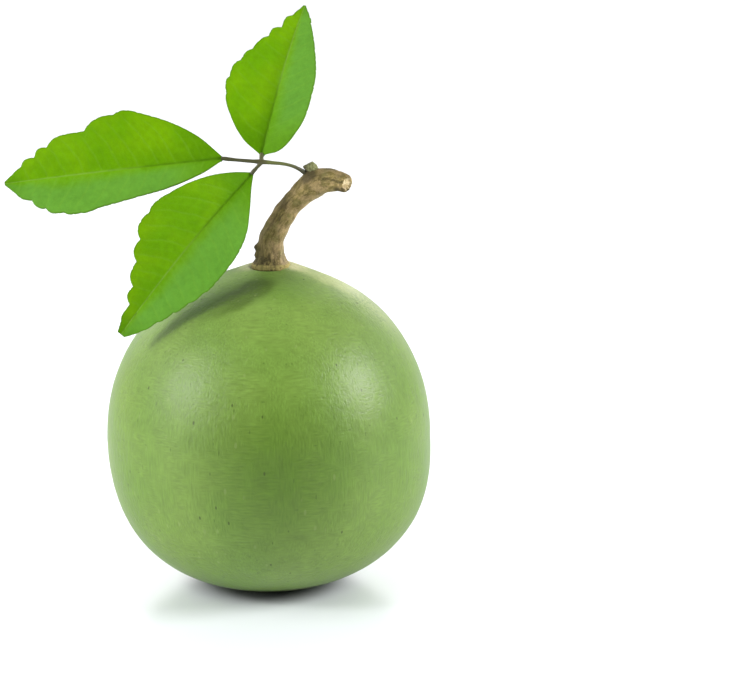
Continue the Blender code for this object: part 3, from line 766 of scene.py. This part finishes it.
leafSettings = {
    "blade": {
        "thickness": 0.36 * mm, "ribThickness": 0.95 * mm,
        "rows": 230, "columns": 92,
        "edgeCurl": 0.10, "toothFullness": 8, "toothTop": 0.858, "creaseRound": 0.05,
        "nibble": 0.24 * mm, "nibbleGap": 2.4 * mm, "nibbleShift": 2 * mm,
        "nibbleBase": (0.12, 0.35), "nibbleTip": 0.05,
        "ribWidth": 0.34 * mm, "ribDepth": 0.10 * mm, "ribTaper": 0.7,
        "veinGap": 4.4 * mm, "veinLean": 0.30, "veinCurve": 22.0, "veinSlant": 0.78,
        "veinWidth": 0.20 * mm, "veinDepth": 0.030 * mm, "veinWobble": 0.5 * mm, "halfVeins": 0.4,
        "pillow": 0.15 * mm,
    },
    # millimetres: outlines give the width at places from the base, 0, to the tip, 1, and notches
    # the end and the depth of each tooth
    "leaflets": {
        "leaflet_terminal": {
            "base": (-10.4, -4.5, 106.5), "tip": (-62.35, -8.0, 100.9),
            "faces": (0.01, -0.88, 0.47), "sheenSide": -1, "fold": 20.0,
            "arch": 2.0, "bow": -0.5, "wave": 0.3, "waves": 2.2,
            "left": {
                "outline": ((0, 0.5), (0.10, 6.1), (0.25, 11.2), (0.40, 13.8), (0.50, 13.0),
                            (0.61, 10.4), (0.79, 7.5), (0.85, 5.5), (0.93, 3.2), (1, 0.4)),
                "notches": ((0.47, 0.5), (0.61, 1.2), (0.79, 1.5), (0.85, 1.2), (0.915, 0.9)),
            },
            "right": {
                "outline": ((0, 0.5), (0.10, 3.8), (0.25, 6.9), (0.40, 8.5), (0.55, 10.2),
                            (0.68, 11.3), (0.82, 8.7), (0.88, 6.0), (0.94, 4.0), (1, 0.4)),
                "notches": ((0.66, 0.3), (0.74, 0.4), (0.82, 0.9), (0.88, 1.0), (0.95, 0.5)),
            },
        },
        "leaflet_upper": {
            "base": (-1.0, -4.0, 107.3), "tip": (8.9, 22.0, 140.9),
            "faces": (-0.10, -0.77, 0.62), "sheenSide": 1, "fold": 22.0,
            "arch": 2.5, "bow": 0.0, "wave": 0.3, "waves": 1.8,
            "left": {
                "outline": ((0, 0.7), (0.015, 3.7), (0.05, 5.9), (0.11, 7.7), (0.20, 9.4),
                            (0.32, 9.9), (0.48, 9.6), (0.62, 7.9), (0.78, 5.2), (0.90, 2.7),
                            (1, 0.3)),
                "notches": ((0.905, 0.3), (0.95, 0.2)),
            },
            "right": {
                "outline": ((0, 0.5), (0.05, 5.0), (0.15, 9.3), (0.27, 11.9), (0.38, 12.5),
                            (0.50, 11.2), (0.65, 7.7), (0.79, 3.7), (0.90, 2.2), (1, 0.3)),
                "notches": ((0.28, 0.3), (0.39, 0.5), (0.51, 0.7), (0.60, 0.6), (0.71, 0.7),
                            (0.795, 1.4), (0.90, 0.9)),
            },
        },
        "leaflet_lower": {
            "base": (-3.3, -5.0, 102.9), "tip": (-34.2, -19.2, 66.4),
            "faces": (0.12, -0.97, 0.23), "sheenSide": -1, "fold": 22.0,
            "arch": 3.0, "bow": 0.8, "wave": 0.3, "waves": 2.0,
            "left": {
                "outline": ((0, 0.5), (0.06, 3.9), (0.15, 7.7), (0.28, 11.3), (0.42, 13.2),
                            (0.54, 12.1), (0.69, 7.8), (0.79, 4.7), (0.87, 2.6), (0.95, 1.9),
                            (1, 1.0)),
                "notches": ((0.47, 0.4), (0.60, 1.3), (0.69, 1.4), (0.79, 1.4), (0.865, 1.3),
                            (0.95, 0.5)),
            },
            "right": {
                "outline": ((0, 0.5), (0.06, 2.5), (0.15, 5.9), (0.25, 9.2), (0.36, 11.0),
                            (0.50, 11.4), (0.60, 10.6), (0.75, 7.9), (0.87, 5.2), (0.95, 3.2),
                            (1, 1.2)),
                "notches": ((0.61, 0.3), (0.69, 0.4), (0.77, 0.4), (0.85, 0.4), (0.93, 0.3)),
            },
        },
    },
    "patterns": {  # clouds: size, detail and roughness
        "patches": (9 * mm, 2.0), "mottle": (1.4 * mm, 3.0, 0.6),
        "netSize": 0.9 * mm, "netWidth": (0.10, 0.02), "edgeWidth": (0.45 * mm, 0.1 * mm),
        "relief": 0.05 * mm,
        "sheenShare": 0.85, "baseShare": 0.85, "tipShare": 0.55, "ribShadeShare": 0.45, "edgeShare": 0.5,
    },
    "upperSide": {
        "green": (0.122, 0.315, 0.001), "warm": (0.150, 0.338, 0.001), "paintedSheen": (0.108, 0.292, 0.034),
        "base": (0.078, 0.225, 0.001), "vein": (0.17, 0.36, 0.03), "rib": (0.23, 0.40, 0.07),
        "ribBase": (0.050, 0.120, 0.004), "edge": (0.070, 0.14, 0.005),
        "net": 0.07, "veins": 0.24, "ribs": 0.48, "relief": 0.2, "roughness": 0.50, "shine": 0.04,
    },
    "underSide": {
        "green": (0.15, 0.29, 0.055), "warm": (0.18, 0.32, 0.07), "paintedSheen": (0.15, 0.29, 0.06),
        "base": (0.14, 0.26, 0.05), "vein": (0.24, 0.37, 0.11), "rib": (0.30, 0.40, 0.15),
        "ribBase": (0.30, 0.38, 0.14), "edge": (0.10, 0.19, 0.03),
        "net": 0.25, "veins": 0.6, "ribs": 0.9, "relief": -0.6, "roughness": 0.60, "shine": 0.30,
    },
}


def toothBulge(shape, notches, place):  # rounded teeth between the notches
    start = 2 * notches[0][0] - notches[1][0]
    for end, depth in notches:
        if start < place <= end:
            t = (place - start) / (end - start)
            return depth * t * (2 - t) * (1 - t ** shape["toothFullness"]) / shape["toothTop"]
        start = end
    return 0.0


def nibble(shape, side, place, length):  # small uneven nicks between fine teeth
    shift = noise.noise(Vector((place * 9, side * 3, length * 100))) * shape["nibbleShift"]
    nick = (1 - abs(math.sin(math.pi * (place * length + shift) / shape["nibbleGap"]))) ** 3
    uneven = 0.6 + 0.7 * noise.noise(Vector((place * 23, side * 5, length * 300)))
    return (shape["nibble"] * nick * uneven
            * ease(place, *shape["nibbleBase"]) * ease(1 - place, 0.0, shape["nibbleTip"]))


def bladeWidth(spec, shape, side, place, length):  # from the midrib to the edge, side 1 or -1
    half = spec["left"] if side > 0 else spec["right"]
    width = readCurve(half["outline"], place) + toothBulge(shape, half["notches"], place)
    return width * mm - nibble(shape, side, place, length)


def veins(shape, across, along, fromEdge, length):  # midrib, side vein and the pillow between two, 0 to 1
    x, gap = abs(across), shape["veinGap"]
    rib = bump(across, shape["ribWidth"] * (1 - shape["ribTaper"] * along / length))
    wobble = noise.noise(Vector((across, along, length)) * 260) * shape["veinWobble"]
    turn = (along + wobble - shape["veinLean"] * x - shape["veinCurve"] * x * x) / gap
    turn -= 0.5 if across > 0 else 0.0  # the two halves take turns
    fromVein = abs(turn - round(turn)) * gap * shape["veinSlant"]
    fromHalfVein = abs(turn + 0.5 - round(turn + 0.5)) * gap * shape["veinSlant"]
    strength = ease(fromEdge, 0.2 * mm, 2.5 * mm) * ease(along - 0.8 * x, 1.0 * mm, 2.5 * mm)
    vein = max(bump(fromVein, shape["veinWidth"]),
               shape["halfVeins"] * bump(fromHalfVein, shape["veinWidth"] * 0.8)) * strength
    pillow = math.sin(math.pi * (turn - round(turn))) ** 2 * strength
    return rib, vein * (1 - rib), pillow


def bladeFrame(spec):  # base, length and the three directions of a blade
    base = Vector(spec["base"]) * mm
    along = Vector(spec["tip"]) * mm - base
    length = along.length
    along.normalize()
    upward = Vector(spec["faces"])
    upward = (upward - along * upward.dot(along)).normalized()
    return base, length, along, along.cross(upward), upward


def bladeRise(spec, shape, column, place, width):  # how far fold, arch and curl lift the blade
    outward = abs(column)
    rounded = math.hypot(outward, shape["creaseRound"]) - shape["creaseRound"] * (1 - outward)
    rounded = outward if outward > 0.999 else rounded
    wave = spec["wave"] * outward ** 2 * math.sin(2 * math.pi * spec["waves"] * place + column)
    return ((spec["arch"] + wave) * mm * 4 * place * (1 - place)
            + width * (rounded * math.sin(math.radians(spec["fold"])) - shape["edgeCurl"] * outward ** 2))


def makeLeaflet(name, spec, shape):
    base, length, along, across, upward = bladeFrame(spec)
    deselectAll()
    bpy.ops.mesh.primitive_grid_add(x_subdivisions=shape["columns"], y_subdivisions=shape["rows"], size=2)
    leaflet = nameNew(name.replace("leaflet_", "") + "Leaflet")
    places, walls = [], []
    marks = {"rib": [], "vein": [], "edge": [], "span": [], "half": []}
    for vert in leaflet.data.vertices:
        column, place = vert.co.x, (vert.co.y + 1) / 2
        width = bladeWidth(spec, shape, 1 if column > 0 else -1, place, length)
        fromEdge = min(width * (1 - abs(column)), length * (1 - place))
        rib, vein, pillow = veins(shape, width * column, length * place, fromEdge, length)
        rise = bladeRise(spec, shape, column, place, width) - shape["ribDepth"] * rib * (1 - 0.6 * place)
        rise += shape["pillow"] * (pillow - 1) * 0.5 - shape["veinDepth"] * vein
        offset = width * column * math.cos(math.radians(spec["fold"]))
        offset += spec["bow"] * mm * 4 * place * (1 - place)
        places.append(base + along * length * place + across * offset + upward * rise)
        wall = shape["thickness"] + (shape["ribThickness"] - shape["thickness"]) * rib * (1 - place)
        walls.append(wall / shape["ribThickness"])
        # half: across the blade, above 0 on the half that gets the painted sheen
        for key, value in zip(marks, (rib, vein, fromEdge, place, column * spec["sheenSide"])):
            marks[key].append(value)
    moveVerts(leaflet, places)
    for key, values in marks.items():
        addNumbers(leaflet, key, values)
    if leaflet.data.polygons[0].normal.dot(upward) < 0:
        editMesh(leaflet, (bpy.ops.mesh.flip_normals, {}))
    thickness = leaflet.vertex_groups.new(name="thickness")
    for index, wall in enumerate(walls):
        thickness.add([index], wall, "REPLACE")
    leaflet.data.materials.append(None)  # one slot for each side of the blade
    leaflet.data.materials.append(None)
    applyModifier(leaflet, "SOLIDIFY", thickness=shape["ribThickness"], offset=-1.0,
                  vertex_group="thickness", material_offset=1, material_offset_rim=1)
    smoothShade(leaflet, 60)
    return leaflet


def bladeColour(paint, look, patterns, patches, mottle):  # painted sheen on one half, darker base and tip, and painted shade beside the midrib
    span, half = paint.read("span"), paint.read("half")
    colour = paint.mix(paint.fade(patches, 0.35, 0.65), look["green"], look["warm"])
    # painted sheen: one half of each blade paler and bluer, as where light glances off it
    paintedSheen = paint.fade(half + 0.5 * patches + 0.25 * mottle, 0.30, 0.75) * patterns["sheenShare"]
    colour = paint.mix(paintedSheen * paint.fade(span, 0.02, 0.30, 0.45, 1.0), colour, look["paintedSheen"])
    ends = (paint.fade(span, 0.26, 0.02) * patterns["baseShare"]
            + paint.fade(span, 0.86, 1.0) * patterns["tipShare"])
    colour = paint.mix(ends, colour, look["base"])
    # painted shade beside the midrib near the base, in the fold's crease
    ribShade = paint.fade(half.maths("ABSOLUTE"), 0.45, 0.0) * paint.fade(span, 0.55, 0.10)
    return paint.mix(ribShade * patterns["ribShadeShare"], colour, look["base"])


def leafPaint(name, look, patterns):
    paint = Paint(name, look["roughness"], **{"Specular IOR Level": look["shine"]})
    patches = paint.cloud(paint.place, *patterns["patches"])
    mottle = paint.cloud(paint.place, *patterns["mottle"])
    net = paint.cells(paint.place, patterns["netSize"], "DISTANCE_TO_EDGE")
    net = paint.fade(net, *patterns["netWidth"])
    colour = bladeColour(paint, look, patterns, patches, mottle)
    colour = paint.tone(colour, 0.80 + 0.40 * mottle)
    colour = paint.tone(colour, 0.90 + 0.20 * patches)
    colour = paint.mix(net * look["net"], colour, look["vein"])
    colour = paint.mix(paint.read("vein") * look["veins"], colour, look["vein"])
    # on the upper side ribBase darkens the midrib near the base: painted shade in the fold's crease
    ribColour = paint.mix(paint.fade(paint.read("span"), 0.30, 0.60), look["ribBase"], look["rib"])
    colour = paint.mix(paint.read("rib") * look["ribs"], colour, ribColour)
    edge = paint.fade(paint.read("edge"), *patterns["edgeWidth"])
    colour = paint.mix(edge * patterns["edgeShare"], colour, look["edge"])
    paint.relief(mottle * 0.5 - net * look["relief"], patterns["relief"])
    return paint.wear(colour, look["roughness"] - 0.06 + 0.12 * mottle)


bladePaints = [leafPaint("leafUpperSide", leafSettings["upperSide"], leafSettings["patterns"]),
               leafPaint("leafUnderSide", leafSettings["underSide"], leafSettings["patterns"])]
for name, spec in leafSettings["leaflets"].items():
    finishPiece(makeLeaflet(name, spec, leafSettings["blade"]), bladePaints, "leaf", name)


# Studio: pale floor with a painted contact shadow, a bright room that is dark in front, three soft lights
# and the camera

studio = {
    # strength of the room's light, and the directions between which it changes
    "sides": 1.0, "front": 0.02, "frontEdges": (-0.90, 0.55), "back": 2.4, "backEdges": (0.55, 1.0),
    "ceiling": 0.6, "ceilingEdges": (0.35, 0.65), "horizon": 0.45, "horizonEdges": (-0.05, 0.30),
    "floor": (0.905, 0.932, 0.985), "floorSize": 6, "floorRoughness": 0.25,
    # foot is the colour of the painted contact shadow under the fruit
    "foot": (0.10, 0.16, 0.06), "contactShadowSpot": ((0, 0, 0), 24, 0.46), "contactShadowShare": 0.72,
    "aim": (0, 0, 42 * mm),
    "lights": (  # name, direction, distance, size, watts
        ("softLeft", (-0.80, -0.36, 0.46), 1.1, 1.15, 10.0),
        ("keyLeft", (-0.80, -0.36, 0.46), 1.1, 0.28, 5.0),
        ("softRight", (0.85, -0.13, 0.41), 1.1, 0.50, 12.5)),
    "cameraPlace": (0.02602, -0.59889, 0.19046), "cameraTilt": 12.3, "lens": 120, "sensor": 36,
}


def makeFloor(look):  # painted contact shadow in a spot round the rest
    deselectAll()
    bpy.ops.mesh.primitive_plane_add(size=look["floorSize"])
    floor = nameNew("floor")
    paint = Paint("paleFloor", look["floorRoughness"])
    foot = paint.spot(*look["contactShadowSpot"]) * look["contactShadowShare"]
    floor.data.materials.append(paint.wear(paint.mix(foot, look["floor"], look["foot"])))


def makeLight(look, name, direction, distance, size, watts):
    deselectAll()
    aim = Vector(look["aim"])
    place = aim + Vector(direction).normalized() * distance
    bpy.ops.object.light_add(type="AREA", location=place,
                             rotation=(aim - place).to_track_quat("-Z", "Y").to_euler())
    light = nameNew(name)
    light.data.shape = "DISK"
    light.data.size = size
    light.data.energy = watts


def makeWorld(look):  # seen as white; its light is brighter behind and above
    world = bpy.data.worlds.new("whiteRoom")
    bpy.context.scene.world = world
    world.use_nodes = True
    graph = Graph(world.node_tree)
    background = world.node_tree.nodes["Background"]
    way = graph.node("ShaderNodeTexCoord").out("Generated")
    depth, height = graph.axis(way, "Y"), graph.axis(way, "Z")
    light = graph.fade(depth, *look["frontEdges"], look["front"], look["sides"])
    light = light * graph.fade(depth, *look["backEdges"], 1.0, look["back"] / look["sides"])
    light = light * graph.fade(height, *look["ceilingEdges"], 1.0, look["ceiling"])
    light = light * graph.fade(height, *look["horizonEdges"], look["horizon"], 1.0)
    seen = graph.node("ShaderNodeLightPath").out("Is Camera Ray")
    graph.feed(background.inputs["Color"], (1, 1, 1))
    graph.feed(background.inputs["Strength"], light.maths("MAXIMUM", seen))


def makeCamera(look):
    deselectAll()
    bpy.ops.object.camera_add(location=look["cameraPlace"],
                              rotation=(math.radians(90 - look["cameraTilt"]), 0, 0))
    camera = nameNew("camera")
    camera.data.lens = look["lens"]
    camera.data.sensor_width = look["sensor"]
    camera.data.clip_start = 0.01
    bpy.context.scene.camera = camera


makeFloor(studio)
for light in studio["lights"]:
    makeLight(studio, *light)
makeWorld(studio)
makeCamera(studio)
bpy.context.scene.view_settings.view_transform = "Standard"
print("studio ready")
